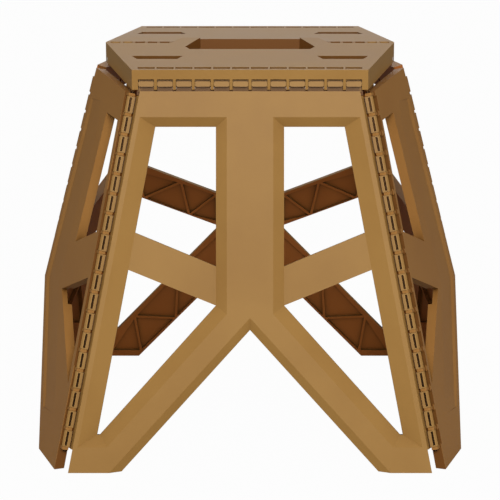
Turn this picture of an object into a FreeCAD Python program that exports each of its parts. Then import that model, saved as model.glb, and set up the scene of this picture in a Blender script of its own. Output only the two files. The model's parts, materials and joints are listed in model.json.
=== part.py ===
import FreeCAD, Part
import os
import re
import Sketcher

# A folding stool of moulded panels. Two seat halves fold upwards about the centre seam, the front
# and rear leg panels hang from them, and each leg panel carries two side halves that fold outwards
# about the corners. All the corner and middle hinge lines meet in one apex above the seat.
# The origin is on the floor under the middle of the seat, +Z up, the front towards -Y.

doc = FreeCAD.newDocument("FoldingStool")
sheet = doc.addObject("Spreadsheet::Sheet", "Sizes")

SIZES = {
    # the hinge lines: the apex that they share and where they would reach the floor
    "apex_height": 787.0,
    "corner_line_x": 153.5,
    "corner_line_y": 157.5,
    "middle_line_x": 198.5,
    # the seat
    "fold_height": 307.5,
    "seat_crown": 4.0,
    "seat_thickness": 16.5,
    "seat_corner_x": 95.0,
    "seat_middle_x": 121.0,
    "seat_skin": 3.0,
    "seat_wall": 3.0,
    "seam_gap": 0.3,
    "seat_wall_cover": 3.4,
    # the handle hole and the arms that reach over the seam
    "handle_front_half": 50.0,
    "handle_front_y": 25.0,
    "handle_tip_half": 54.0,
    "handle_tip_y": 16.0,
    "handle_rear_half": 42.0,
    "handle_rear_y": 18.0,
    "arm_root_half": 66.0,
    "arm_mid_half": 60.0,
    "arm_mid_y": 13.0,
    "arm_end_half": 57.0,
    # the long slots of the seat
    "slot_outer_x": 97.0,
    "slot_inner_x": 55.0,
    "slot_near_y": 50.0,
    "slot_far_y": 61.0,
    "slot_taper": 4.5,
    # rods and combs
    "rod_radius": 1.5,
    "rod_fit": 0.05,
    "knuckle_radius": 3.3,
    "knuckle_chamfer": 1.3,
    "post_width": 2.4,
    "comb_clearance": 0.2,
    "web_depth": 0.6,
    "rod_overhang": 1.5,
    "cut_overrun": 2.0,
    # the long-edge hinges of the seat
    "seat_pitch": 15.2,
    "seat_module_count": 12,
    "seat_window_reach": 4.6,
    "seat_leg_gap": 5.8,
    "top_slit_length": 13.7,
    "top_slit_width": 5.5,
    "top_slit_inset": 4.0,
    # the centre seam hinge
    "seam_pitch": 10.3,
    "seam_module_count": 5,
    "seam_hinge_start": 66.5,
    "seam_slit_length": 8.0,
    "seam_slit_half": 2.5,
    "seam_relief": 4.5,
    # the corner hinges
    "corner_pitch": 16.2,
    "corner_module_count": 18,
    "corner_hinge_start": 19.0,
    "side_edge_gap": 4.6,
    # the middle hinges
    "middle_pitch": 16.2,
    "middle_module_count": 10,
    "middle_hinge_inset": 5.2,
    "middle_edge_gap": 3.8,
    "middle_post_gap": 4.6,
    "middle_finger_reach": 2.0,
    "middle_pin_depth": 3.7,
    # the leg panels
    "leg_outer": 6.0,
    "leg_inner": 3.5,
    "leg_edge_gap": 6.0,
    "recess_level": 2.0,
    "rim_width": 4.4,
    "rail_width": 17.6,
    "post_half_width": 27.5,
    "post_face_half": 19.0,
    "top_beam_face": 21.0,
    "top_beam_depth": 28.7,
    "brace_top_post": 166.5,
    "brace_top_rail": 193.6,
    "brace_low_post": 134.6,
    "brace_low_rail": 163.6,
    "leg_band_x": 121.9,
    "window_low": 29.4,
    "recess_low": 20.0,
    "recess_post_low": 128.3,
    "cut_apex": 114.9,
    "cut_apex_face": 125.1,
    "cut_foot_x": 103.9,
    # the side halves
    "side_outer": 4.5,
    "side_inner": 3.5,
    "side_top_corner": 312.5,
    "side_top_middle": 326.0,
    "side_knee": 143.0,
    "side_foot_x": 56.0,
    "side_window_x": 11.0,
    "side_rail": 62.0,
    "side_beam_corner": 24.5,
    "side_beam_middle": 34.0,
    "side_brace_top": 196.0,
    "side_brace_low": 158.0,
    "side_brace_drop_share": 0.28,
    "side_leg_x": 77.0,
    "side_window_low": 69.5,
}

row_number = 1
for size_name, size_value in SIZES.items():
    sheet.set("A%d" % row_number, size_name)
    sheet.set("B%d" % row_number, repr(size_value))
    sheet.setAlias("B%d" % row_number, size_name)
    row_number += 1
doc.recompute()


def bind(text):
    return re.sub(r"[a-z]+(?:_[a-z]+)+", lambda found: "Sizes." + found.group(0)
                  if found.group(0) in SIZES else found.group(0), text)


def value(text):
    return float(sheet.evalExpression(bind(text)))


def drive(item, prop, text):
    item.setExpression(prop, bind(text))


def plane(body, role):
    for item in body.Origin.OriginFeatures:
        if item.Role == role:
            return item
    raise ValueError(role)


def new_body(name):
    body = doc.addObject("PartDesign::Body", name)
    body.Label = name
    return body


def new_sketch(body, name, role, loops, offset=None):
    """A sketch of closed polygons whose points are driven by the sheet."""
    sketch = body.newObject("Sketcher::SketchObject", name)
    sketch.AttachmentSupport = (plane(body, role), [""])
    sketch.MapMode = "FlatFace"
    if offset is not None:
        sketch.AttachmentOffset = offset
    for loop in loops:
        spots = [FreeCAD.Vector(value(x), value(y), 0) for x, y in loop]
        first = sketch.GeometryCount
        count = len(spots)
        for index in range(count):
            sketch.addGeometry(Part.LineSegment(spots[index], spots[(index + 1) % count]), False)
        rules = []
        for index in range(count):
            rules.append(Sketcher.Constraint("Coincident", first + index, 2,
                                             first + (index + 1) % count, 1))
        sketch.addConstraint(rules)
        for index in range(count):
            for kind, text, size in (("DistanceX", loop[index][0], spots[index].x),
                                     ("DistanceY", loop[index][1], spots[index].y)):
                number = sketch.addConstraint(
                    Sketcher.Constraint(kind, -1, 1, first + index, 1, size))
                if "_" in text:
                    drive(sketch, "Constraints[%d]" % number, text)
    return sketch


def pad(body, name, sketch, length, reverse=False):
    feature = body.newObject("PartDesign::Pad", name)
    feature.Profile = sketch
    feature.Reversed = reverse
    drive(feature, "Length", length)
    return feature


def pocket(body, name, sketch, length, reverse=False):
    feature = body.newObject("PartDesign::Pocket", name)
    feature.Profile = sketch
    feature.Reversed = reverse
    drive(feature, "Length", length)
    return feature


def pattern(body, name, feature, sketch, axis, pitch, count, reverse=False):
    row = body.newObject("PartDesign::LinearPattern", name)
    row.Originals = [feature]
    row.Direction = (sketch, [axis])
    row.Reversed = reverse
    row.Occurrences = int(round(value(count)))
    drive(row, "Occurrences", count)
    row.Length = value("(%s - 1) * %s" % (count, pitch))
    drive(row, "Length", "(%s - 1) * %s" % (count, pitch))
    body.Tip = row
    return row


def shift(x="0", y="0", z="0", turn=None):
    """An attachment offset from driven lengths and, where given, a rotation."""
    rotation = turn if turn is not None else FreeCAD.Rotation()
    return FreeCAD.Placement(FreeCAD.Vector(value(x), value(y), value(z)), rotation)


def both(loop):
    """The loop and its mirror image about the sketch's upright axis."""
    return [loop, [("-(%s)" % x, y) for x, y in reversed(loop)]]


def handed(loop, hand):
    return loop if hand > 0 else [("-(%s)" % x, y) for x, y in reversed(loop)]


# The upright lean of the leg panels and the run of the corner line inside them
LEAN = "corner_line_y / apex_height"
LEG_RUN = "sqrt(corner_line_y ^ 2 + apex_height ^ 2)"
CORNER_SLOPE = "(corner_line_x / %s)" % LEG_RUN
CORNER_RUN = "sqrt(corner_line_x ^ 2 + corner_line_y ^ 2 + apex_height ^ 2)"
# where the seat hinge lies: how far out, and how far up the leg panel
PIN_OUT = "(corner_line_y * (1 - fold_height / apex_height))"
PIN_UP = "(fold_height * %s / apex_height)" % LEG_RUN
SEAT_RUN = "sqrt(%s ^ 2 + seat_crown ^ 2)" % PIN_OUT
# the hinge pin in the seat half's own axes: along its slope and above its underside
SEAT_PIN_Y = "(%s ^ 2 / %s)" % (PIN_OUT, SEAT_RUN)
SEAT_PIN_Z = "(seat_crown * %s / %s)" % (PIN_OUT, SEAT_RUN)
SEAT_WALL_Y = "(%s + seat_wall_cover)" % SEAT_PIN_Y
SLOT = "(rod_radius + rod_fit)"
KNUCKLE_FLAT = "(knuckle_radius - knuckle_chamfer)"


def edge_x(up, inset):
    """How far out the leg panel's edge is at a height, less an inset along X."""
    return ("(corner_line_x - leg_edge_gap * %s / %s - (%s) * %s - (%s))"
            % (CORNER_RUN, LEG_RUN, up, CORNER_SLOPE, inset))


def knuckle_loop(edge):
    """Section of a wide knuckle: an open half bearing and the web to its panel at -U."""
    return [("-(%s) - web_depth" % edge, "-knuckle_radius"),
            (KNUCKLE_FLAT, "-knuckle_radius"),
            ("knuckle_radius", "-%s" % KNUCKLE_FLAT),
            ("knuckle_radius", KNUCKLE_FLAT),
            (KNUCKLE_FLAT, "knuckle_radius"),
            (SLOT, "knuckle_radius"),
            (SLOT, "-%s" % SLOT),
            ("-%s" % SLOT, "-%s" % SLOT),
            ("-%s" % SLOT, "knuckle_radius"),
            ("-knuckle_radius", "knuckle_radius"),
            ("-knuckle_radius", "-web_depth"),
            ("-(%s) - web_depth" % edge, "-web_depth")]


def post_loop(edge):
    """Section of a thin post: it reaches from its panel at +U over the rod."""
    return [("(%s) + web_depth" % edge, "knuckle_radius"),
            ("-%s" % KNUCKLE_FLAT, "knuckle_radius"),
            ("-knuckle_radius", KNUCKLE_FLAT),
            ("-knuckle_radius", "-%s" % SLOT),
            ("-%s" % SLOT, "-%s" % SLOT),
            ("-%s" % SLOT, SLOT),
            (SLOT, SLOT),
            (SLOT, "-%s" % SLOT),
            ("(%s) + web_depth" % edge, "-%s" % SLOT)]


def leg_panel(name):
    body = new_body(name)
    top = "(%s - seat_leg_gap)" % PIN_UP
    face = shift(z="leg_outer")
    level = shift(z="recess_level")
    plate = new_sketch(body, name + "_outline", "XY_Plane", [[
        ("0", "cut_apex"),
        ("cut_foot_x * (1 + cut_overrun / cut_apex)", "-cut_overrun"),
        (edge_x("-cut_overrun", "0"), "-cut_overrun"),
        (edge_x(top, "0"), top),
        ("-%s" % edge_x(top, "0"), top),
        ("-%s" % edge_x("-cut_overrun", "0"), "-cut_overrun"),
        ("-cut_foot_x * (1 + cut_overrun / cut_apex)", "-cut_overrun")]], shift(z="-leg_inner"))
    pad(body, name + "_plate", plate, "leg_outer + leg_inner")
    # the sunk field, its slopes from the face down to the level of the braces
    slope = "((leg_band_x - post_half_width) / (brace_low_post - window_low))"
    upper_line = "(%s - top_beam_face)" % top
    lower_line = "(%s - top_beam_depth)" % top
    rim = [(edge_x(upper_line, "rim_width"), upper_line),
           ("post_face_half", upper_line),
           ("post_face_half", "recess_post_low"),
           ("post_face_half + (recess_post_low - recess_low) * %s" % slope, "recess_low"),
           (edge_x("recess_low", "rim_width"), "recess_low")]
    floor = [(edge_x(lower_line, "rail_width"), lower_line),
             ("post_half_width", lower_line),
             ("post_half_width", "brace_low_post"),
             ("leg_band_x", "window_low"),
             (edge_x("window_low", "rail_width"), "window_low")]
    for side_name, turn in (("right", 1), ("left", -1)):
        high = new_sketch(body, "%s_%s_rim" % (name, side_name), "XY_Plane", [handed(rim, turn)], face)
        low = new_sketch(body, "%s_%s_level" % (name, side_name), "XY_Plane", [handed(floor, turn)], level)
        sunk = body.newObject("PartDesign::SubtractiveLoft", "%s_%s_recess" % (name, side_name))
        sunk.Profile = high
        sunk.Sections = [low]
        sunk.Ruled = True
        doc.recompute()
    # the slopes along the V between the legs
    run = "(cut_foot_x / cut_apex)"
    high = new_sketch(body, name + "_cut_rim", "XY_Plane", [[
        ("0", "cut_apex_face"), ("-(cut_apex_face + cut_overrun) * %s" % run, "-cut_overrun"),
        ("(cut_apex_face + cut_overrun) * %s" % run, "-cut_overrun")]], face)
    low = new_sketch(body, name + "_cut_level", "XY_Plane", [[
        ("0", "cut_apex"), ("-(cut_apex + cut_overrun) * %s" % run, "-cut_overrun"),
        ("(cut_apex + cut_overrun) * %s" % run, "-cut_overrun")]], level)
    slope_cut = body.newObject("PartDesign::SubtractiveLoft", name + "_cut_slopes")
    slope_cut.Profile = high
    slope_cut.Sections = [low]
    slope_cut.Ruled = True
    doc.recompute()
    # the four windows
    upper = [(edge_x(lower_line, "rail_width"), lower_line),
             ("post_half_width", lower_line),
             ("post_half_width", "brace_top_post"),
             (edge_x("brace_top_rail", "rail_width"), "brace_top_rail")]
    lower = [("post_half_width", "brace_low_post"),
             ("leg_band_x", "window_low"),
             (edge_x("window_low", "rail_width"), "window_low"),
             (edge_x("brace_low_rail", "rail_width"), "brace_low_rail")]
    windows = new_sketch(body, name + "_windows", "XY_Plane", both(upper) + both(lower),
                         shift(z="leg_outer"))
    pocket(body, name + "_window_cut", windows, "leg_outer + leg_inner + cut_overrun")
    # the foot is cut level with the floor
    ground = new_sketch(body, name + "_floor_line", "YZ_Plane", [[
        ("-(leg_outer + cut_overrun) * %s" % LEAN, "leg_outer + cut_overrun"),
        ("(leg_inner + cut_overrun) * %s" % LEAN, "-leg_inner - cut_overrun"),
        ("-2 * leg_outer", "-leg_inner - cut_overrun"),
        ("-2 * leg_outer", "leg_outer + cut_overrun")]], shift(z="corner_line_x"))
    pocket(body, name + "_floor_cut", ground, "2 * corner_line_x")
    # the combs of the corner hinges
    angle = "atan2(corner_line_x; %s)" % LEG_RUN
    for side_name, turn in (("right", 1), ("left", -1)):
        lean = FreeCAD.Rotation(FreeCAD.Vector(0, 1, 0), turn * value(angle))
        start = "(corner_hinge_start + post_width / 2 + comb_clearance)"
        spot = shift(x="%d * (corner_line_x - %s * corner_line_x / %s)" % (turn, start, CORNER_RUN),
                     z="-%s * %s / %s" % (start, LEG_RUN, CORNER_RUN), turn=lean)
        comb = new_sketch(body, "%s_%s_knuckle" % (name, side_name), "XZ_Plane",
                          [handed(knuckle_loop("leg_edge_gap"), turn)], spot)
        first = pad(body, "%s_%s_first_knuckle" % (name, side_name), comb,
                    "corner_pitch - post_width - 2 * comb_clearance", True)
        doc.recompute()
        pattern(body, "%s_%s_comb" % (name, side_name), first, comb, "N_Axis", "corner_pitch",
                "corner_module_count", True)
        doc.recompute()
    # the comb that carries the seat
    half = "(seat_pitch * seat_module_count / 2 - post_width / 2 - comb_clearance)"
    quarter = FreeCAD.Rotation(FreeCAD.Vector(0, 0, 1), 90)
    spot = shift(x=PIN_UP, z="-%s" % half)
    comb = new_sketch(body, name + "_top_knuckle", "YZ_Plane",
                      [[(u, v) for u, v in knuckle_loop("seat_leg_gap")]], spot)
    first = pad(body, name + "_first_top_knuckle", comb,
                "seat_pitch - post_width - 2 * comb_clearance")
    doc.recompute()
    pattern(body, name + "_top_comb", first, comb, "N_Axis", "seat_pitch", "seat_module_count")
    doc.recompute()
    return body


def side_half(name, hand, carries_rod):
    """A side half: x runs from the corner line to the middle line, y up the corner line."""
    body = new_body(name)
    gap = "middle_post_gap" if carries_rod else "middle_edge_gap"

    def middle_x(up, inset):
        return "((%s - (%s)) * %.9f - (%s) * %.9f)" % (CORNER_RUN, up, fan_tan, inset, 1 / fan_cos)

    knee = (middle_x("side_knee", gap), "side_knee")
    plate = new_sketch(body, name + "_outline", "XY_Plane", [handed([
        ("side_edge_gap", "-2 * cut_overrun"),
        ("side_foot_x - 2 * cut_overrun", "-2 * cut_overrun"),
        knee,
        (middle_x("side_top_middle", gap), "side_top_middle"),
        ("side_edge_gap", "side_top_corner")], hand)], shift(z="-side_inner"))
    pad(body, name + "_plate", plate, "side_outer + side_inner")

    def brace(x, start):
        return "(%s - ((%s) - side_window_x) * side_brace_drop_share)" % (start, x)

    beam_low = "(side_top_middle - side_beam_middle)"
    rail_top = middle_x(beam_low, "side_rail")
    rail_low = middle_x("side_brace_top", "side_rail")
    upper = [("side_window_x", "side_top_corner - side_beam_corner"),
             (rail_top, beam_low),
             (rail_low, brace(rail_low, "side_brace_top")),
             ("side_window_x", "side_brace_top")]
    lower = [("side_window_x", "side_brace_low"),
             ("side_leg_x", brace("side_leg_x", "side_brace_low")),
             ("side_window_x", "side_window_low")]
    windows = new_sketch(body, name + "_windows", "XY_Plane",
                         [handed(upper, hand), handed(lower, hand)], shift(z="side_outer"))
    pocket(body, name + "_window_cut", windows, "side_outer + side_inner + cut_overrun")
    # the foot is cut level with the floor
    flat = side_frame(hand)
    down = flat["placement"].inverse().Rotation.multVec(FreeCAD.Vector(0, 0, -1))
    level = FreeCAD.Rotation(FreeCAD.Vector(0, 0, 1), down)
    big = "3 * side_rail"
    ground = new_sketch(body, name + "_floor_line", "XY_Plane", [[
        ("-(%s)" % big, "-(%s)" % big), (big, "-(%s)" % big), (big, big), ("-(%s)" % big, big)]],
        FreeCAD.Placement(FreeCAD.Vector(0, 0, 0), level))
    pocket(body, name + "_floor_cut", ground, "side_foot_x", True)
    doc.recompute()
    # posts round the corner rod, notched from inside
    start = "(corner_hinge_start + post_width / 2)"
    comb = new_sketch(body, name + "_corner_post", "XZ_Plane",
                      [handed(post_loop("side_edge_gap"), hand)], shift(z="-%s + post_width" % start))
    first = pad(body, name + "_first_corner_post", comb, "post_width", True)
    doc.recompute()
    pattern(body, name + "_corner_comb", first, comb, "N_Axis", "corner_pitch",
            "corner_module_count + 1", True)
    doc.recompute()
    # the comb of the middle line, square to that line
    turn = middle_turn(hand)
    if carries_rod:
        # the post clears the inner face of the other half when the two lie flat together
        flat_level = "(middle_pin_depth - side_inner + web_depth / 4)"
        loop = post_loop(gap)[:-1] + [("knuckle_radius", "-%s" % SLOT), ("knuckle_radius", flat_level),
                                      ("(%s) + web_depth" % gap, flat_level)]
        loop = handed(loop, -1)
        start = "(middle_hinge_inset + post_width)"
        width = "post_width"
        count = "middle_module_count + 1"
    else:
        loop = [("-(%s) - web_depth" % gap, SLOT),
                ("middle_finger_reach", SLOT),
                ("middle_finger_reach", "side_outer + side_inner - cut_overrun"),
                ("middle_finger_reach / 2", "side_outer + side_inner"),
                ("-(%s) - web_depth" % gap, "side_outer + side_inner")]
        start = "(middle_hinge_inset + middle_pitch - comb_clearance)"
        width = "middle_pitch - post_width - 2 * comb_clearance"
        count = "middle_module_count"
    base = middle_spot(hand, value(start))
    comb = new_sketch(body, name + "_middle_section", "XY_Plane", [handed(loop, -hand)],
                      FreeCAD.Placement(base, turn))
    first = pad(body, name + "_first_middle_tooth", comb, width)
    doc.recompute()
    pattern(body, name + "_middle_comb", first, comb, "N_Axis", "middle_pitch", count, True)
    doc.recompute()
    return body


def unit(vector):
    return vector * (1 / vector.Length)


def side_frame(hand):
    """Axes of a left side half: hand 1 stands at the rear corner, hand -1 at the front one."""
    foot = FreeCAD.Vector(-value("corner_line_x"), hand * value("corner_line_y"), 0)
    apex = FreeCAD.Vector(0, 0, value("apex_height"))
    middle = FreeCAD.Vector(-value("middle_line_x"), 0, 0)
    up = unit(apex - foot)
    ray = unit(apex - middle)
    spot = apex - ray * ((apex.z - value("fold_height")) / ray.z)
    span = spot - foot
    across = span - up * span.dot(up)
    reach = across.Length
    across = unit(across)
    outward = across.cross(up) * hand
    tilt = value("middle_pin_depth") / reach
    lean = (1 - tilt * tilt) ** 0.5
    toward = unit(across * lean + outward * tilt)
    normal = unit(outward * lean - across * tilt)
    x_axis = toward * hand
    turn = FreeCAD.Rotation(x_axis, up, normal, "XYZ")
    return {"placement": FreeCAD.Placement(foot, turn), "ray": ray, "apex": apex, "spot": spot}


fan = side_frame(1)
fan_place = fan["placement"].inverse()
fan_ray = fan_place.Rotation.multVec(fan["ray"])
fan_tan = -fan_ray.x / fan_ray.y
fan_cos = fan_ray.y / (fan_ray.x ** 2 + fan_ray.y ** 2) ** 0.5


def middle_turn(hand):
    """Rotation of a section square to the middle line: Y outward, Z up the line."""
    frame = side_frame(hand)
    inverse = frame["placement"].inverse().Rotation
    ray = unit(inverse.multVec(frame["ray"]))
    outward = FreeCAD.Vector(0, 0, 1)
    outward = unit(outward - ray * outward.dot(ray))
    return FreeCAD.Rotation(outward.cross(ray), outward, ray, "XYZ")


def middle_top():
    """The point of the middle line that is level with the top corner of the side halves."""
    return fan["apex"] - fan["ray"] * ((value(CORNER_RUN) - value("side_top_middle")) / fan_ray.y)


def middle_spot(hand, down):
    """A point on the middle line, so far down it from the top of the side halves."""
    frame = side_frame(hand)
    return frame["placement"].inverse().multVec(middle_top() - frame["ray"] * down)


def seat_half(name, front):
    """A seat half: x along the seam, y down its slope from the seam, z up from its underside."""
    body = new_body(name)
    edge = "(seam_gap / 2)"
    wall = SEAT_WALL_Y
    if front:
        inner = [("arm_root_half", edge), ("arm_mid_half - seam_gap", "-arm_mid_y"),
                 ("arm_end_half - seam_gap", "-handle_rear_y + seam_gap"),
                 ("handle_rear_half", "-handle_rear_y + seam_gap"),
                 ("handle_tip_half", "handle_tip_y"), ("handle_front_half", "handle_front_y")]
    else:
        inner = [("arm_root_half + seam_gap", edge), ("arm_mid_half + seam_gap", "arm_mid_y"),
                 ("arm_end_half + seam_gap", "handle_rear_y")]
    right = [("seat_corner_x", wall), ("seat_middle_x", edge)] + inner
    left = [("-(%s)" % x, y) for x, y in reversed(right)]
    outline = new_sketch(body, name + "_outline", "XY_Plane", [right + left])
    pad(body, name + "_slab", outline, "seat_thickness")
    # the long slots
    slot = [("slot_inner_x", "slot_near_y"), ("slot_outer_x", "slot_near_y"),
            ("slot_outer_x - slot_taper", "slot_far_y"), ("slot_inner_x + slot_taper", "slot_far_y")]
    slots = new_sketch(body, name + "_slots", "XY_Plane", both(slot),
                       shift(z="seat_thickness + cut_overrun"))
    pocket(body, name + "_slot_cut", slots, "seat_thickness + 2 * cut_overrun")
    # the windows that the leg panel's knuckles turn in, with posts left between them
    half = "(seat_pitch * seat_module_count / 2 - post_width / 2)"
    start = "-%s" % half
    window = new_sketch(body, name + "_window", "YZ_Plane", [[
        ("%s - seat_window_reach" % SEAT_PIN_Y, "-cut_overrun"),
        ("%s + cut_overrun" % wall, "-cut_overrun"),
        ("%s + cut_overrun" % wall, "%s + seat_window_reach" % SEAT_PIN_Z),
        ("%s - seat_window_reach" % SEAT_PIN_Y, "%s + seat_window_reach" % SEAT_PIN_Z)]],
        shift(z=start))
    first = pocket(body, name + "_first_window", window, "seat_pitch - post_width", True)
    doc.recompute()
    pattern(body, name + "_windows", first, window, "N_Axis", "seat_pitch", "seat_module_count")
    doc.recompute()
    # the slits above them
    slit_y = "(%s - top_slit_inset)" % wall
    slit_x = "(seat_pitch * (seat_module_count - 1) / 2)"
    slit = new_sketch(body, name + "_slit", "XY_Plane", [[
        ("-%s - top_slit_length / 2" % slit_x, slit_y),
        ("-%s + top_slit_length / 2" % slit_x, slit_y),
        ("-%s + top_slit_length / 2" % slit_x, "%s - top_slit_width" % slit_y),
        ("-%s - top_slit_length / 2" % slit_x, "%s - top_slit_width" % slit_y)]],
        shift(z="seat_thickness"))
    first = pocket(body, name + "_first_slit", slit, "seat_skin")
    doc.recompute()
    pattern(body, name + "_slits", first, slit, "H_Axis", "seat_pitch", "seat_module_count")
    doc.recompute()
    # the bore of the hinge rod through the posts
    bore = body.newObject("Sketcher::SketchObject", name + "_bore")
    bore.AttachmentSupport = (plane(body, "YZ_Plane"), [""])
    bore.MapMode = "FlatFace"
    rod_half = "(seat_pitch * seat_module_count / 2 + post_width / 2 + rod_overhang)"
    bore.AttachmentOffset = shift(z="-%s" % rod_half)
    bore.addGeometry(Part.Circle(FreeCAD.Vector(value(SEAT_PIN_Y), value(SEAT_PIN_Z), 0),
                                 FreeCAD.Vector(0, 0, 1), value(SLOT)), False)
    bore.addConstraint(Sketcher.Constraint("DistanceX", -1, 1, 0, 3, value(SEAT_PIN_Y)))
    bore.addConstraint(Sketcher.Constraint("DistanceY", -1, 1, 0, 3, value(SEAT_PIN_Z)))
    bore.addConstraint(Sketcher.Constraint("Radius", 0, value(SLOT)))
    drive(bore, "Constraints[0]", SEAT_PIN_Y)
    drive(bore, "Constraints[1]", SEAT_PIN_Z)
    drive(bore, "Constraints[2]", SLOT)
    pocket(body, name + "_rod_bore", bore, "2 * %s" % rod_half, True)
    # the centre seam: relief for the rod, slits and the comb, on both sides of the handle
    reach = "(seam_pitch * seam_module_count)"
    for side_name, turn in (("right", 1), ("left", -1)):
        begin = "seam_hinge_start" if turn > 0 else "-seam_hinge_start - %s" % reach
        relief = new_sketch(body, "%s_%s_relief" % (name, side_name), "YZ_Plane", [[
            ("-cut_overrun", "-cut_overrun"), ("seam_relief", "-cut_overrun"),
            ("seam_relief", "seam_relief"), ("-cut_overrun", "seam_relief")]],
            shift(z="%s - post_width" % begin))
        pocket(body, "%s_%s_relief_cut" % (name, side_name), relief, "%s + 2 * post_width" % reach, True)
        slit_from = "%s + (seam_pitch - seam_slit_length) / 2" % begin
        slit = new_sketch(body, "%s_%s_seam_slit" % (name, side_name), "XY_Plane", [[
            (slit_from, "-cut_overrun"), ("%s + seam_slit_length" % slit_from, "-cut_overrun"),
            ("%s + seam_slit_length" % slit_from, "seam_slit_half"), (slit_from, "seam_slit_half")]],
            shift(z="seat_thickness + cut_overrun"))
        first = pocket(body, "%s_%s_first_seam_slit" % (name, side_name), slit,
                       "seat_thickness + 2 * cut_overrun")
        doc.recompute()
        pattern(body, "%s_%s_seam_slits" % (name, side_name), first, slit, "H_Axis", "seam_pitch",
                "seam_module_count")
        doc.recompute()
        if front:
            loop = [("seam_relief + web_depth", "knuckle_radius"),
                    ("-%s" % KNUCKLE_FLAT, "knuckle_radius"),
                    ("-knuckle_radius", KNUCKLE_FLAT), ("-knuckle_radius", "-%s" % SLOT),
                    ("-%s" % SLOT, "-%s" % SLOT), ("-%s" % SLOT, SLOT), (SLOT, SLOT),
                    (SLOT, "-%s" % SLOT), ("knuckle_radius", "-%s" % SLOT),
                    ("knuckle_radius", "web_depth"), ("seam_relief + web_depth", "web_depth")]
            from_x = "%s + post_width / 2 + comb_clearance" % begin
            width = "seam_pitch - post_width - 2 * comb_clearance"
            count = "seam_module_count"
        else:
            loop = [("seam_relief + web_depth", "knuckle_radius"), (SLOT, "knuckle_radius"),
                    (SLOT, "-%s" % SLOT), ("-%s" % SLOT, "-%s" % SLOT), ("-%s" % SLOT, SLOT),
                    ("-knuckle_radius", SLOT), ("-knuckle_radius", "-%s" % KNUCKLE_FLAT),
                    ("-%s" % KNUCKLE_FLAT, "-knuckle_radius"), (KNUCKLE_FLAT, "-knuckle_radius"),
                    ("knuckle_radius", "-%s" % KNUCKLE_FLAT),
                    ("knuckle_radius", "web_depth"), ("seam_relief + web_depth", "web_depth")]
            from_x = "%s - post_width / 2" % begin
            width = "post_width"
            count = "seam_module_count + 1"
        comb = new_sketch(body, "%s_%s_seam_tooth" % (name, side_name), "YZ_Plane", [loop],
                          shift(z=from_x))
        first = pad(body, "%s_%s_first_seam_tooth" % (name, side_name), comb, width)
        doc.recompute()
        pattern(body, "%s_%s_seam_comb" % (name, side_name), first, comb, "N_Axis", "seam_pitch", count)
        doc.recompute()
    return body


def rod(name, start, end):
    """A plain steel rod between two points."""
    item = doc.addObject("Part::Cylinder", name)
    item.Label = name
    drive(item, "Radius", "rod_radius")
    item.Height = (end - start).Length
    item.Placement = FreeCAD.Placement(start, FreeCAD.Rotation(FreeCAD.Vector(0, 0, 1), end - start))
    return item


half_turn = FreeCAD.Placement(FreeCAD.Vector(0, 0, 0), FreeCAD.Rotation(FreeCAD.Vector(0, 0, 1), 180))

# Leg panels: x across, y up the panel, z outwards
lean_degrees = value("atan2(corner_line_y; apex_height)")
front_place = FreeCAD.Placement(
    FreeCAD.Vector(0, -value("corner_line_y"), 0),
    FreeCAD.Rotation(FreeCAD.Vector(1, 0, 0), 90 - lean_degrees))
front_leg = leg_panel("front_leg_panel")
front_leg.Placement = front_place
rear_leg = leg_panel("rear_leg_panel")
rear_leg.Placement = half_turn.multiply(front_place)

# Side halves
left_rear_place = side_frame(1)["placement"]
left_front_place = side_frame(-1)["placement"]
left_rear = side_half("left_rear_side_panel", 1, True)
left_rear.Placement = left_rear_place
left_front = side_half("left_front_side_panel", -1, False)
left_front.Placement = left_front_place
right_front = side_half("right_front_side_panel", 1, False)
right_front.Placement = half_turn.multiply(left_rear_place)
right_rear = side_half("right_rear_side_panel", -1, True)
right_rear.Placement = half_turn.multiply(left_front_place)

# Seat halves: each slopes down from the seam to its leg hinge
slope_degrees = value("atan2(seat_crown; %s)" % PIN_OUT)
rear_seat_place = FreeCAD.Placement(
    FreeCAD.Vector(0, 0, value("fold_height")),
    FreeCAD.Rotation(FreeCAD.Vector(1, 0, 0), -slope_degrees))
front_seat = seat_half("seat_front_half", True)
front_seat.Placement = half_turn.multiply(rear_seat_place)
rear_seat = seat_half("seat_rear_half", False)
rear_seat.Placement = rear_seat_place

# Rods
fold_z = value("fold_height")
pin_y = value(PIN_OUT)
seat_rod = value("seat_pitch * seat_module_count / 2 + post_width / 2")
rod("front_seat_hinge_rod", FreeCAD.Vector(-seat_rod, -pin_y, fold_z), FreeCAD.Vector(seat_rod, -pin_y, fold_z))
rod("rear_seat_hinge_rod", FreeCAD.Vector(-seat_rod, pin_y, fold_z), FreeCAD.Vector(seat_rod, pin_y, fold_z))
seam_in = value("seam_hinge_start - post_width / 2")
seam_out = value("seam_hinge_start + seam_pitch * seam_module_count + post_width / 2")
rod("right_centre_hinge_rod", FreeCAD.Vector(seam_in, 0, fold_z), FreeCAD.Vector(seam_out, 0, fold_z))
rod("left_centre_hinge_rod", FreeCAD.Vector(-seam_out, 0, fold_z), FreeCAD.Vector(-seam_in, 0, fold_z))
corner_low = value("corner_hinge_start - post_width / 2 - rod_overhang")
corner_high = value("corner_hinge_start + corner_pitch * corner_module_count + post_width / 2 + rod_overhang")
apex_point = FreeCAD.Vector(0, 0, value("apex_height"))
for rod_name, turn_x, turn_y in (("left_front_corner_rod", -1, -1), ("right_front_corner_rod", 1, -1),
                                 ("left_rear_corner_rod", -1, 1), ("right_rear_corner_rod", 1, 1)):
    foot_point = FreeCAD.Vector(turn_x * value("corner_line_x"), turn_y * value("corner_line_y"), 0)
    along = unit(apex_point - foot_point)
    rod(rod_name, foot_point + along * corner_low, foot_point + along * corner_high)
middle_high = value("middle_hinge_inset - rod_overhang")
middle_low = value("middle_hinge_inset + middle_pitch * middle_module_count + post_width + rod_overhang")
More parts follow.
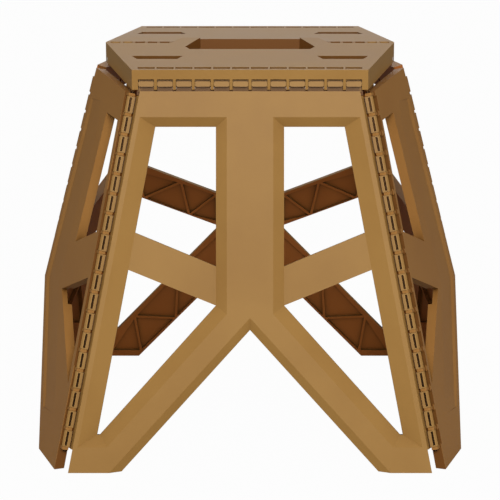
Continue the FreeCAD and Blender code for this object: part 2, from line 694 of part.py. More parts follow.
for rod_name, turn_x in (("left_middle_hinge_rod", 1), ("right_middle_hinge_rod", -1)):
    high = middle_top() - fan["ray"] * middle_high
    low = middle_top() - fan["ray"] * middle_low
    high.x *= turn_x
    low.x *= turn_x
    rod(rod_name, low, high)

doc.recompute()

NODES = ["seat_front_half", "seat_rear_half", "front_leg_panel", "rear_leg_panel",
         "left_front_side_panel", "left_rear_side_panel", "right_front_side_panel",
         "right_rear_side_panel", "front_seat_hinge_rod", "rear_seat_hinge_rod",
         "left_centre_hinge_rod", "right_centre_hinge_rod", "left_front_corner_rod",
         "right_front_corner_rod", "left_rear_corner_rod", "right_rear_corner_rod",
         "left_middle_hinge_rod", "right_middle_hinge_rod"]
for item in doc.Objects:
    if "Invalid" in item.State or "Error" in item.State:
        raise RuntimeError("%s is %s" % (item.Name, item.State))
os.makedirs("parts", exist_ok=True)
for node in NODES:
    item = doc.getObjectsByLabel(node)[0]
    shape = item.Shape
    if shape.isNull() or not shape.isValid() or len(shape.Solids) != 1:
        raise RuntimeError("%s isn't one valid solid, solids %d" % (node, len(shape.Solids)))
    print(node, "faces %d volume %.0f" % (len(shape.Faces), shape.Volume))
for node in NODES:
    doc.getObjectsByLabel(node)[0].Shape.exportStep("parts/%s.step" % node)
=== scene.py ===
"""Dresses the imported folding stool: moulded brown plastic panels, steel hinge rods and a pale studio."""

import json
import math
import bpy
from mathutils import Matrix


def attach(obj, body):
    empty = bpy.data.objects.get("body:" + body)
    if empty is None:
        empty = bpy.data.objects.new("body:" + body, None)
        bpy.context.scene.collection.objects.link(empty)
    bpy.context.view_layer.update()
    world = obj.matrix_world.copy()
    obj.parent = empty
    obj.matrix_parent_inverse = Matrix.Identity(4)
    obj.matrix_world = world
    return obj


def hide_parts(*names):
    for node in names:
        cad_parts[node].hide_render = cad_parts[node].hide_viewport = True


bl_info = {
    "name": "Folding stool dressing",
    "version": (1, 0, 0),
    "blender": (4, 5, 0),
    "location": "View3D > Sidebar > Stool",
    "description": "Softens the moulded panels of a folding stool, finishes them and sets a studio",
    "category": "Object",
}

import bmesh
import bpy
from bpy.props import FloatProperty, FloatVectorProperty, PointerProperty
from mathutils import Matrix, Vector

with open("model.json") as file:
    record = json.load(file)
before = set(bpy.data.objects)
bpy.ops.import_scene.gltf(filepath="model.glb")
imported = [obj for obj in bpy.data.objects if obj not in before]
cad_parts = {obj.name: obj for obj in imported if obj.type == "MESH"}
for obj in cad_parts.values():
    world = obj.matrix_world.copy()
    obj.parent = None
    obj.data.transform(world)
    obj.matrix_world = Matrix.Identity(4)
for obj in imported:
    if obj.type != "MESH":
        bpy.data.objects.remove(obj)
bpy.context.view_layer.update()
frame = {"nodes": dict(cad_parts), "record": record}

SEATS = ["seat_front_half", "seat_rear_half"]
LEGS = ["front_leg_panel", "rear_leg_panel"]
SIDES = ["left_front_side_panel", "left_rear_side_panel",
         "right_front_side_panel", "right_rear_side_panel"]
RODS = [name for name in frame["nodes"] if name.endswith("_rod")]
BODY_OF = {node: body for body, nodes in frame["record"]["behaviour"]["bodies"].items() for node in nodes}

# All sizes are in metres, and all angles in radians.
# The corner and middle lines of the panels, carried on, meet at the apex. A panel's own frame has x across
# it, y up it and z outwards, and its corner lines lie in the plane z = 0.
APEX = 0.787                       # height of the apex over the floor
FOOT_X, FOOT_Y = 0.1535, 0.1575    # where a corner line reaches the floor
MIDDLE_X = 0.1985                  # where a side's middle line reaches the floor
PIN_Z = 0.3075                     # height of the hinge lines between the seat and the leg panels
PIN_DEPTH = 0.0037                 # how far a side's middle line lies behind the plane of its halves

# Leg panels: levels of the inner face, the outer face and the floor of a sunk field
LEG_INNER, LEG_FACE, LEG_LEVEL = -0.0035, 0.006, 0.0005
ROD_RISE = 0.0058                  # the seat's hinge line over the panel's top edge
LEG_TOP = PIN_Z * math.hypot(FOOT_Y, APEX) / APEX - ROD_RISE
LEG_EDGE = 0.006                   # from the corner line in to the panel's edge
# The outline of a sunk field, at its rim in the outer face and at its floor: in from the panel's edge, out
# from its middle, down from its top, and the heights where the leg leaves the post and where it ends
RIM_EDGE, RIM_POST, RIM_TOP, RIM_SPLIT, RIM_FOOT = 0.0044, 0.019, 0.021, 0.1283, 0.020
FIELD_EDGE, FIELD_POST, FIELD_TOP, FIELD_SPLIT, FIELD_FOOT = 0.0176, 0.0275, 0.0287, 0.1346, 0.0294
FIELD_FOOT_X = 0.1219              # inner corner of a field's floor at the foot
FIELD_FLARE, FIELD_RISE = 0.0006, 0.0004   # how far a field's cut is carried on above the outer face

# Side halves: inner and outer face, height of the bend in the middle edge, and the reach of that edge below
SIDE_INNER, SIDE_FACE = -0.0035, 0.0045
SIDE_KNEE, SIDE_FOOT = 0.143, 0.056
# The sunk face of a side rail: heights with depths, and its lines as distances from the middle edge
SUNK_RAIL = [(0.300, 0.0004), (0.286, 0.0011), (0.143, 0.0012), (0.052, 0.0011), (0.040, 0.0004)]
SUNK_OUTER, SUNK_DEEPEST, SUNK_INNER = 0.009, 0.015, 0.054
SUNK_LEAST_X, SUNK_OVER = 0.012, 0.0002    # where the inner line stops, how far the cut starts over the face
SLOT_X, SLOT_START = 0.0059, 0.0271        # the slots beside the corner comb
SLOT_LENGTH, SLOT_WIDTH, SLOT_DEPTH, SLOT_END_POINTS = 0.0134, 0.0028, 0.0035, 7

# Seat halves: rise to the centre, and the outer wall past the hinge line
SEAT_CROWN, SEAT_WALL = 0.004, 0.0034

# Knuckles: how many there are, how far apart, how much one is short of half that, and its outer face
CORNER_COUNT, CORNER_PITCH, CORNER_START = 18, 0.0162, 0.019
TOP_COUNT, TOP_PITCH = 12, 0.0152
KNUCKLE_PLAY, KNUCKLE_FACE = 0.00142, 0.0033
# Their covers: half width, levels, and a frame's half opening and the length of its ends
COVER_HALF, COVER_LOW, COVER_HIGH = 0.00162, 0.00175, KNUCKLE_FACE - 0.00002
COVER_OPENING, COVER_END = 0.00085, 0.0009
# The groove round a top knuckle: levels, then its half widths with how far it is past the knuckle's end
GROOVE_LOW, GROOVE_HIGH = -0.0005, 0.0048
GROOVE_OUTER, GROOVE_INNER = (0.0037, 0.0012), (0.0022, -0.0007)
# The profiles of the lips beside the combs, across a hinge line
CORNER_LIP = [(-0.0064, -0.0034), (-0.0022, -0.0034), (-0.00305, -0.0026), (-0.0038, -0.0013),
              (-0.0041, 0.0), (-0.0041, 0.0014), (-0.0064, 0.0044)]
TOP_LIP = [(0.0090, -0.0038), (0.0036, -0.0038), (0.0036, -0.0033), (0.0090, -0.0033)]

# Ribs: the nodes that they run between, in the panel's frame, or for a side half their heights
BRACE_RIBS = [(0.1015, 0.1905), (0.0960, 0.1625), (0.0619, 0.1785), (0.0550, 0.1455), (0.0300, 0.1660),
              (0.0290, 0.1385)]
LEG_RIBS = [(0.0225, 0.1330), (0.0240, 0.0900), (0.0655, 0.0900), (0.0685, 0.0400), (0.1065, 0.0420),
            (0.1010, 0.0055), (0.1290, 0.0055)]
POST_RIBS = [(0.0005, 0.1180), (0.0235, 0.1380), (0.0005, 0.1600), (0.0235, 0.1850), (0.0005, 0.2100),
             (0.0235, 0.2350), (0.0005, 0.2600), (0.0235, 0.2840), (0.0005, 0.2990)]
SIDE_RIBS = [0.305, 0.272, 0.238, 0.204, 0.170, 0.136, 0.104, 0.072, 0.046]
SIDE_RIB_NEAR, SIDE_RIB_FAR = 0.012, 0.056     # distances of a side half's nodes from the middle edge
RIB_HALF = 0.0011                              # half the thickness of a rib
SMALLEST_CELL = 1.6                            # a cell's least inner radius, in half ribs
FIELD_WALL, POST_WALL, SIDE_WALL = 0.0014, 0.0035, 0.0045    # the wall left over the cells
OVERCUT = 0.001                                # how far a cut starts outside the solid

# A face's shade attribute says how much shade is painted into its colour: 0 none, the plain plastic; 1 the
# painted shade of an inner face; 2 the deeper painted shade of a hollow. The side halves' outer faces get a
# little painted shade as well.
OUTER_SIDE_SHADE, INNER_SHADE, DEEP_SHADE = 0.3, 1.0, 1.8
# Faces behind these levels of their own frame get painted shade, and deeper painted shade up under the seat
SEAT_DEPTH, PANEL_DEPTH, TRIM_DEPTH = -0.001, -0.0012, 0.0005    # levels that a face is hidden behind
TURNED_IN, TURNED_UP, WALL_TILT = -0.3, 0.7, 0.5                 # limits on the parts of a face's normal
UNDER_SEAT = 0.285                             # height on a panel over which its inner side is deep
OPENINGS_X, OPENINGS_Y = 0.1, 0.085            # the middle of the seat, where its openings are
SLOT_FROM, SLOT_TO, SLOT_BELOW = 0.0043, 0.0077, 0.0041          # where the slots' walls are on a side half

WELD, FLAT = 0.00002, math.radians(0.6)        # CAD points this near are one, and planes this near too
SHARP = math.radians(28)                       # edges over this angle are rounded
LEAST_FACES = 100                              # a moulding with fewer has lost its shape

FLOOR_HALF, FLOOR_Z, FLOOR_GREY = 6.0, -0.0004, 0.34
SENSOR_WIDTH, CLIP_END = 36.0, 50.0            # in millimetres and metres


class StoolFinish(bpy.types.PropertyGroup):
    plastic_color: FloatVectorProperty(
        name="Plastic", description="Colour of the moulded panels", subtype="COLOR", size=3,
        min=0, max=1, default=(0.400, 0.214, 0.058))
    plastic_shade: FloatVectorProperty(
        name="Plastic shade", description="The darker tone that the mottling drifts to",
        subtype="COLOR", size=3, min=0, max=1, default=(0.365, 0.190, 0.050))
    # Painted shade: the hollow colour is painted into crevices and onto the deepest hidden faces, and the
    # inner colour onto the inner faces and, a little, the side halves' outer faces
    hollow_shade_color: FloatVectorProperty(
        name="Hollow colour", description="Colour deep inside the ribbed hollows", subtype="COLOR", size=3,
        min=0, max=1, default=(0.140, 0.058, 0.011))
    # how far the painted crevice shade reaches
    hollow_shade_reach: FloatProperty(
        name="Hollow reach", description="How far the hollows are felt", subtype="DISTANCE", unit="LENGTH",
        default=0.022)
    inner_shade_color: FloatVectorProperty(
        name="Inner colour", description="Colour of the panels' inner faces", subtype="COLOR", size=3,
        min=0, max=1, default=(0.400, 0.128, 0.027))
    plastic_roughness: FloatProperty(
        name="Roughness", description="Roughness of the moulded surface", min=0, max=1, default=0.42)
    grain_height: FloatProperty(
        name="Grain", description="Height of the fine moulding grain", subtype="DISTANCE", default=0.00012)
    edge_radius: FloatProperty(
        name="Edge radius", description="Radius of the moulded edges", subtype="DISTANCE", unit="LENGTH",
        default=0.0006)
    # The rods' dark brown is partly painted shade: steel darkened so that the knuckle slots where the rods
    # show read as shaded
    shaded_steel_color: FloatVectorProperty(
        name="Steel", description="Colour of the hinge rods", subtype="COLOR", size=3,
        min=0, max=1, default=(0.050, 0.024, 0.011))


class StoolStudio(bpy.types.PropertyGroup):
    camera_distance: FloatProperty(
        name="Distance", description="How far in front of the stool the camera stands", unit="LENGTH",
        default=2.1335)
    camera_height: FloatProperty(
        name="Height", description="Height of the camera over the floor", unit="LENGTH", default=0.7177)
    camera_pitch: FloatProperty(
        name="Pitch", description="How far the camera looks down", subtype="ANGLE", default=0.263)
    camera_lens: FloatProperty(
        name="Lens", description="Focal length in millimetres", default=185.5)
    key_power: FloatProperty(
        name="Key light", description="Power of the front light in watts", default=54.0)
    top_power: FloatProperty(
        name="Top light", description="Power of the overhead light in watts", default=15.0)
    side_power: FloatProperty(
        name="Side lights", description="Power of each side light in watts", default=7.0)
    back_power: FloatProperty(
        name="Back light", description="Power of the rear light in watts", default=5.5)
    sky_strength: FloatProperty(
        name="Sky", description="Strength of the room's even light", default=0.12)
    floor_white: FloatProperty(
        name="Floor", description="How much of the floor is plain white", default=0.975)


def link(piece):
    """Puts an object into the scene."""
    bpy.context.scene.collection.objects.link(piece)
    return piece


def new_material(name):
    """A material with a node tree, and that tree."""
    material = bpy.data.materials.new(name)
    material.use_nodes = True
    return material, material.node_tree


def noise(tree, scale, detail=2.0):
    """A noise that stays with the object."""
    place = tree.nodes.new("ShaderNodeTexCoord")
    node = tree.nodes.new("ShaderNodeTexNoise")
    node.inputs["Scale"].default_value = scale
    node.inputs["Detail"].default_value = detail
    tree.links.new(place.outputs["Object"], node.inputs["Vector"])
    return node.outputs["Fac"]


def ranged(tree, source, **limits):
    """A value carried from one range to another: from_min, from_max, to_min and to_max."""
    node = tree.nodes.new("ShaderNodeMapRange")
    for key, value in limits.items():
        node.inputs[key.replace("_", " ").title()].default_value = value
    tree.links.new(source, node.inputs["Value"])
    return node.outputs["Result"]


def blend(tree, factor, first, second):
    """A mix of two colours, each given as a colour or as the socket that it comes from."""
    node = tree.nodes.new("ShaderNodeMix")
    node.data_type = "RGBA"
    tree.links.new(factor, node.inputs["Factor"])
    for key, colour in (("A", first), ("B", second)):
        if isinstance(colour, bpy.types.NodeSocket):
            tree.links.new(colour, node.inputs[key])
        else:
            node.inputs[key].default_value = (*colour, 1)
    return node.outputs["Result"]


def moulded_plastic(finish):
    """Satin moulded plastic: faint mottling, a fine grain, slightly uneven gloss, and painted shade, darker
    and redder, on inner faces and in hollows.
    """
    material, tree = new_material("satin_brown_plastic")
    shader = tree.nodes["Principled BSDF"]
    cloud = noise(tree, 14.0, detail=5.0)
    mottle = ranged(tree, cloud, from_min=0.35, from_max=0.6)
    colour = blend(tree, mottle, finish.plastic_shade, finish.plastic_color)
    # painted shade: the plastic is painted darker and redder on its inner faces and in its hollows, by a face
    # attribute
    hidden = tree.nodes.new("ShaderNodeAttribute")
    hidden.attribute_name = "painted_shade_level"
    for shade, start in ((finish.inner_shade_color, 0.0), (finish.hollow_shade_color, 1.0)):
        share = ranged(tree, hidden.outputs["Fac"], from_min=start, from_max=start + 1.0)
        colour = blend(tree, share, colour, shade)
    # painted shade in crevices: an ambient occlusion node blends in the hollow colour where the piece closes
    # in on itself
    closed = tree.nodes.new("ShaderNodeAmbientOcclusion")
    closed.only_local = True
    closed.samples = 8
    closed.inputs["Distance"].default_value = finish.hollow_shade_reach
    share = ranged(tree, closed.outputs["AO"], from_min=0.35, from_max=0.95)
    tree.links.new(blend(tree, share, finish.hollow_shade_color, colour), shader.inputs["Base Color"])
    bump = tree.nodes.new("ShaderNodeBump")
    bump.inputs["Strength"].default_value = 0.35
    bump.inputs["Distance"].default_value = finish.grain_height
    tree.links.new(noise(tree, 1400.0), bump.inputs["Height"])
    tree.links.new(bump.outputs["Normal"], shader.inputs["Normal"])
    rough = finish.plastic_roughness
    gloss = ranged(tree, cloud, to_min=rough - 0.05, to_max=rough + 0.07)
    tree.links.new(gloss, shader.inputs["Roughness"])
    shader.inputs["IOR"].default_value = 1.49
    shader.inputs["Specular IOR Level"].default_value = 0.16
    return material


def hinge_steel(finish):
    """Drawn wire: fine lines along the rod and a low sheen."""
    material, tree = new_material("drawn_hinge_wire")
    shader = tree.nodes["Principled BSDF"]
    shader.inputs["Metallic"].default_value = 1.0
    lines = noise(tree, 900.0)
    # the rod colour is partly painted shade, dark brown so the knuckle slots read as shaded
    dark = [channel * 0.85 for channel in finish.shaded_steel_color]
    tree.links.new(blend(tree, lines, dark, finish.shaded_steel_color), shader.inputs["Base Color"])
    tree.links.new(ranged(tree, lines, to_min=0.25, to_max=0.45), shader.inputs["Roughness"])
    return material


def material_named(name, maker, finish):
    """The material of that name, made where it isn't there yet."""
    return bpy.data.materials.get(name) or maker(finish)


def leg_place(front):
    """Axes of a leg panel: x across, y up the panel, z outwards."""
    run = math.hypot(FOOT_Y, APEX)
    side = 1 if front else -1
    across = Vector((side, 0, 0))
    up = Vector((0, side * FOOT_Y, APEX)) / run
    out = across.cross(up)
    return Matrix.Translation((0, -side * FOOT_Y, 0)) @ Matrix((across, up, out)).transposed().to_4x4()


def side_place(left, front):
    """Axes of a side half: x from the corner line to the middle line, y up the corner line, z outwards."""
    sx, sy = (-1 if left else 1), (-1 if front else 1)
    foot, apex = Vector((sx * FOOT_X, sy * FOOT_Y, 0)), Vector((0, 0, APEX))
    middle = Vector((sx * MIDDLE_X, 0, 0))
    up, ray = (apex - foot).normalized(), (apex - middle).normalized()
    spot = apex - ray * ((APEX - PIN_Z) / ray.z)
    across = (spot - foot) - up * (spot - foot).dot(up)
    reach = across.length
    across.normalize()
    outward = across.cross(up)
    outward *= 1 if outward.x * sx > 0 else -1
    tilt = PIN_DEPTH / reach
    lean = math.sqrt(1 - tilt * tilt)
    toward = (across * lean + outward * tilt).normalized()
    normal = (outward * lean - across * tilt).normalized()
    return Matrix.Translation(foot) @ Matrix((toward, up, normal)).transposed().to_4x4()


def merged(node):
    """The faces of a CAD node as one closed mesh."""
    mesh = frame["nodes"][node].data.copy()
    mesh.materials.clear()
    shape = bmesh.new()
    shape.from_mesh(mesh)
    bmesh.ops.remove_doubles(shape, verts=shape.verts, dist=WELD)
    bmesh.ops.dissolve_limit(shape, angle_limit=FLAT, verts=shape.verts, edges=shape.edges)
    shape.to_mesh(mesh)
    shape.free()
    return mesh


def evaluated(piece):
    """The mesh of a piece after its modifiers."""
    bpy.context.view_layer.update()
    return bpy.data.meshes.new_from_object(piece.evaluated_get(bpy.context.evaluated_depsgraph_get()))


def shape_object(shape, name):
    """An object with the given shape, which is used up."""
    mesh = bpy.data.meshes.new(name)
    shape.to_mesh(mesh)
    shape.free()
    return link(bpy.data.objects.new(name, mesh))


def loft(shape, loops, place):
    """Adds a closed loft through loops of equal length, placed by a matrix."""
    rings = [[shape.verts.new(place @ Vector(spot)) for spot in loop] for loop in loops]
    count = len(rings[0])
    faces = [shape.faces.new(rings[0]), shape.faces.new(reversed(rings[-1]))]
    for low, high in zip(rings, rings[1:]):
        for i in range(count):
            j = (i + 1) % count
            faces.append(shape.faces.new((low[j], low[i], high[i], high[j])))
    bmesh.ops.recalc_face_normals(shape, faces=faces)


def slab(shape, outline, low, high, place):
    """Adds a straight block with the given outline between two levels."""
    loft(shape, [[(x, y, z) for x, y in outline] for z in (low, high)], place)


def rectangle(x0, x1, y0, y1):
    """The corners of a rectangle, in order."""
    return [(x0, y0), (x1, y0), (x1, y1), (x0, y1)]


def shrunk(corners, inset):
    """The triangle moved in from its sides, or None where it closes up."""
    a, b, c = [Vector(corner) for corner in corners]
    sides = [(b - c).length, (c - a).length, (a - b).length]
    total = sum(sides)
    area = abs((b - a).cross(c - a)) / 2
    radius = 2 * area / total
    if radius < inset * SMALLEST_CELL:
        return None
    centre = (a * sides[0] + b * sides[1] + c * sides[2]) / total
    return [centre + (corner - centre) * (1 - inset / radius) for corner in (a, b, c)]


def zigzag(shape, nodes, low, high, place, mirror=False):
    """Adds the triangles between neighbouring rib nodes, whose cut leaves the ribs standing."""
    for k in range(len(nodes) - 2):
        cell = shrunk(nodes[k:k + 3], RIB_HALF)
        if cell:
            slab(shape, [(-x if mirror else x, y) for x, y in cell], low, high, place)


def row_tree():
    """A node tree that stands copies of one object in a row."""
    tree = bpy.data.node_groups.new("hinge_row", "GeometryNodeTree")
    face = tree.interface
    face.new_socket(name="Count", in_out="INPUT", socket_type="NodeSocketInt")
    face.new_socket(name="Step", in_out="INPUT", socket_type="NodeSocketVector")
    face.new_socket(name="Piece", in_out="INPUT", socket_type="NodeSocketObject")
    face.new_socket(name="Material", in_out="INPUT", socket_type="NodeSocketMaterial")
    face.new_socket(name="Row", in_out="OUTPUT", socket_type="NodeSocketGeometry")
    nodes, links = tree.nodes, tree.links
    given, out = nodes.new("NodeGroupInput"), nodes.new("NodeGroupOutput")
    row = nodes.new("GeometryNodeMeshLine")
    info = nodes.new("GeometryNodeObjectInfo")
    stand = nodes.new("GeometryNodeInstanceOnPoints")
    real = nodes.new("GeometryNodeRealizeInstances")
    dress = nodes.new("GeometryNodeSetMaterial")
    links.new(given.outputs["Count"], row.inputs["Count"])
    links.new(given.outputs["Step"], row.inputs["Offset"])
    links.new(given.outputs["Piece"], info.inputs["Object"])
    links.new(row.outputs["Mesh"], stand.inputs["Points"])
    links.new(info.outputs["Geometry"], stand.inputs["Instance"])
    links.new(stand.outputs["Instances"], real.inputs["Geometry"])
    links.new(real.outputs["Geometry"], dress.inputs["Geometry"])
    links.new(given.outputs["Material"], dress.inputs["Material"])
    links.new(dress.outputs["Geometry"], out.inputs["Row"])
    return tree


def add_row(shape, seed_shape, place, count, pitch):
    """Adds a row of copies of a seed shape along the place's own Y."""
    seed = shape_object(seed_shape, "row_seed")
    holder = link(bpy.data.objects.new("row", bpy.data.meshes.new("row")))
    tree = bpy.data.node_groups.get("hinge_row") or row_tree()
    rule = holder.modifiers.new("row", "NODES")
    rule.node_group = tree
    sockets = {item.name: item.identifier for item in tree.interface.items_tree if item.in_out == "INPUT"}
    rule[sockets["Count"]] = count
    rule[sockets["Step"]] = (0.0, pitch, 0.0)
    rule[sockets["Piece"]] = seed
    mesh = evaluated(holder)
    mesh.transform(place)
    shape.from_mesh(mesh)
    for item in (holder, seed):
        bpy.data.objects.remove(item)


def round_slot(length, width, low, high):
    """The shape of one slot along Y with round ends."""
    seed = bmesh.new()
    loop = []
    half = length / 2 - width / 2
    for end in (1, -1):
        for k in range(SLOT_END_POINTS):
            angle = math.pi * k / (SLOT_END_POINTS - 1)
            loop.append((width / 2 * math.cos(angle) * end, end * half + width / 2 * math.sin(angle) * end))
    slab(seed, loop, low, high, Matrix.Identity(4))
    return seed


def knuckle_frame(outer, inner, low, high):
    """A flat rectangular frame, given by the half width and half length of its outline and its opening."""
    shape = bmesh.new()
    rings = []
    for (x, y), z in ((outer, low), (outer, high), (inner, high), (inner, low)):
        rings.append([shape.verts.new((*spot, z)) for spot in rectangle(-x, x, -y, y)])
    for first, second in zip(rings, rings[1:] + rings[:1]):
        for i in range(4):
            j = (i + 1) % 4
            shape.faces.new((first[i], first[j], second[j], second[i]))
    bmesh.ops.recalc_face_normals(shape, faces=shape.faces)
    return shape


def moulding(node, cuts, context):
    """A merged copy of a CAD node, carved by the given shape, with its hard edges rounded and flat faces."""
    name = node + "_moulding"
    piece = link(bpy.data.objects.new(name, merged(node)))
    tool = shape_object(cuts, name + "_cuts")
    carve = piece.modifiers.new("carve", "BOOLEAN")
    carve.operation = "DIFFERENCE"
    carve.solver = "EXACT"
    carve.object = tool
    piece.data = evaluated(piece)
    piece.modifiers.clear()
    bpy.data.objects.remove(tool)
    rounding = piece.modifiers.new("rounding", "BEVEL")
    rounding.width = context.scene.stool_finish.edge_radius
    rounding.segments = 2
    rounding.limit_method = "ANGLE"
    rounding.angle_limit = SHARP
    rounding.use_clamp_overlap = True
    piece.data = evaluated(piece)
    piece.modifiers.clear()
    piece.data.name = name
    for face in piece.data.polygons:
        face.use_smooth = False
    if len(piece.data.polygons) < LEAST_FACES:
        raise RuntimeError(name + " lost its shape while it was carved")
    return piece


def paint_face_shade(mesh, place, depth, shown=0.0, openings=False, slots=False):
    """Paints shade into the plastic's colour, face by face, through a face attribute.

    A face gets painted shade where it is turned inwards, or lies behind a depth of its own frame and isn't a
    top edge, and deeper painted shade up under the seat. The other faces get the shown value, which paints a
    little shade on the side halves. Openings paints the deeper shade on the walls of the seat's hole and long
    slots, and slots on the slots beside a corner comb.
    """
    layer = mesh.attributes.new("painted_shade_level", "FLOAT", "FACE")
    back, turn = place.inverted(), place.to_3x3().inverted()
    for face in mesh.polygons:
        centre, normal = back @ face.center, turn @ face.normal
        inner = normal.z < TURNED_IN or centre.z < depth and normal.y < TURNED_UP
        value = INNER_SHADE if inner else shown
        wall = abs(normal.z) < WALL_TILT and abs(centre.y) < OPENINGS_Y and abs(centre.x) < OPENINGS_X
        slot = SLOT_FROM < centre.x < SLOT_TO and centre.z < SLOT_BELOW
        if inner and centre.y > UNDER_SEAT or openings and wall or slots and slot:
            value = DEEP_SHADE
        layer.data[face.index].value = value


def dress(piece, node, context):
    """Gives a piece its plastic. It stands for one CAD node and moves with that node's body."""
    plastic = material_named("satin_brown_plastic", moulded_plastic, context.scene.stool_finish)
    piece.data.materials.clear()
    piece.data.materials.append(plastic)
    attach(piece, BODY_OF[node])
    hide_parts(node)


def leg_edge(up, inset):
    """How far out the edge of a leg panel is at a height, less an inset."""
    run = math.hypot(FOOT_Y, APEX)
    return FOOT_X - LEG_EDGE * math.hypot(FOOT_X, run) / run - up * FOOT_X / run - inset


def corner_row(place, turn):
    """Where the knuckles of a leg panel's corner line start, with y up that line. Turn is 1 or -1."""
    run = math.hypot(FOOT_Y, APEX)
    slope, length = math.atan2(FOOT_X, run), math.hypot(FOOT_X, run)
    start = CORNER_START + CORNER_PITCH / 2
    spot = Vector((turn * (FOOT_X - start * FOOT_X / length), start * run / length, 0))
    return place @ Matrix.Translation(spot) @ Matrix.Rotation(turn * slope, 4, "Z")


def top_row(place):
    """Where the knuckles of a leg panel's top edge start, with y across the panel."""
    spot = Vector((-TOP_PITCH * (TOP_COUNT - 1) / 2, LEG_TOP + ROD_RISE, 0))
    return place @ Matrix.Translation(spot) @ Matrix.Rotation(-math.pi / 2, 4, "Z")


def add_trim(shape, seed, place, count, pitch, lip, turn=1):
    """Adds the covers of a row of knuckles, and the lip that runs beside them from end to end."""
    add_row(shape, seed, place, count, pitch)
    ends = (-pitch / 2, pitch * (count - 0.5))
    loft(shape, [[(turn * x, y, z) for x, z in lip] for y in ends], place)


def leg_trim(front, name):
    """The frames and plates that cover the rods at the knuckles, and the lips beside the combs."""
    place = leg_place(front)
    shape = bmesh.new()
    half = CORNER_PITCH / 2 - KNUCKLE_PLAY
    for turn in (1, -1):
        cover = knuckle_frame((COVER_HALF, half), (COVER_OPENING, half - COVER_END), COVER_LOW, COVER_HIGH)
        add_trim(shape, cover, corner_row(place, turn), CORNER_COUNT, CORNER_PITCH, CORNER_LIP, turn)
    half = TOP_PITCH / 2 - KNUCKLE_PLAY
    plate = bmesh.new()
    slab(plate, rectangle(-COVER_HALF, COVER_HALF, -half, half), COVER_LOW, COVER_HIGH, Matrix.Identity(4))
    add_trim(shape, plate, top_row(place), TOP_COUNT, TOP_PITCH, TOP_LIP)
    trim = shape_object(shape, name)
    paint_face_shade(trim.data, place, TRIM_DEPTH)
    return trim


def leg_cuts(front):
    """A leg panel's sunk fields, the rib cells of its inner side and the grooves round its top knuckles."""
    place = leg_place(front)
    shape = bmesh.new()
    slope = (FIELD_FOOT_X - FIELD_POST) / (FIELD_SPLIT - FIELD_FOOT)
    top, low = LEG_TOP - RIM_TOP, LEG_TOP - FIELD_TOP
    rim = [(leg_edge(top, RIM_EDGE), top), (RIM_POST, top), (RIM_POST, RIM_SPLIT),
           (RIM_POST + (RIM_SPLIT - RIM_FOOT) * slope, RIM_FOOT), (leg_edge(RIM_FOOT, RIM_EDGE), RIM_FOOT)]
    floor = [(leg_edge(low, FIELD_EDGE), low), (FIELD_POST, low), (FIELD_POST, FIELD_SPLIT),
             (FIELD_FOOT_X, FIELD_FOOT), (leg_edge(FIELD_FOOT, FIELD_EDGE), FIELD_FOOT)]
    over = FIELD_FLARE / (LEG_FACE - LEG_LEVEL)
    high = [(x + (x - u) * over, y + (y - v) * over) for (x, y), (u, v) in zip(rim, floor)]
    for side in (1, -1):
        loft(shape, [[(side * x, y, LEG_FACE + FIELD_RISE) for x, y in high],
                     [(side * x, y, LEG_LEVEL) for x, y in floor]], place)
    for mirror in (False, True):
        for ribs, wall in ((BRACE_RIBS, LEG_LEVEL - FIELD_WALL), (LEG_RIBS, LEG_LEVEL - FIELD_WALL),
                           (POST_RIBS, LEG_FACE - POST_WALL)):
            zigzag(shape, ribs, LEG_INNER - OVERCUT, wall, place, mirror)
    half = TOP_PITCH / 2 - KNUCKLE_PLAY
    outer, inner = [(wide, half + more) for wide, more in (GROOVE_OUTER, GROOVE_INNER)]
    add_row(shape, knuckle_frame(outer, inner, GROOVE_LOW, GROOVE_HIGH), top_row(place), TOP_COUNT, TOP_PITCH)
    return shape


def side_cuts(left, front):
    """The rib cells inside a side half, its sunk rail and the slots beside its corner comb."""
    place = side_place(left, front)
    shape = bmesh.new()
    run = math.sqrt(FOOT_X ** 2 + FOOT_Y ** 2 + APEX ** 2)
    foot = Vector(((-1 if left else 1) * MIDDLE_X, 0, 0))
    ray = place.to_3x3().inverted() @ (Vector((0, 0, APEX)) - foot)
    tangent = -ray.x / ray.y
    knee = (run - SIDE_KNEE) * tangent

    def edge(y):
        """How far out the middle edge is at a height of the panel."""
        return (run - y) * tangent if y > SIDE_KNEE else SIDE_FOOT + (knee - SIDE_FOOT) * y / SIDE_KNEE

    cells = [(edge(y) - (SIDE_RIB_NEAR if k % 2 else SIDE_RIB_FAR), y) for k, y in enumerate(SIDE_RIBS)]
    zigzag(shape, cells, SIDE_INNER - OVERCUT, SIDE_FACE - SIDE_WALL, place)
    loops = []
    for y, deep in SUNK_RAIL:
        x = edge(y)
        loops.append([(max(x - SUNK_INNER, SUNK_LEAST_X), y, SIDE_FACE + SUNK_OVER),
                      (x - SUNK_DEEPEST, y, SIDE_FACE - deep),
                      (x - SUNK_OUTER, y, SIDE_FACE + SUNK_OVER)])
    loft(shape, loops, place)
    slot = round_slot(SLOT_LENGTH, SLOT_WIDTH, SIDE_FACE - SLOT_DEPTH, SIDE_FACE + OVERCUT)
    start = place @ Matrix.Translation((SLOT_X, SLOT_START, 0))
    add_row(shape, slot, start, CORNER_COUNT, CORNER_PITCH)
    return shape


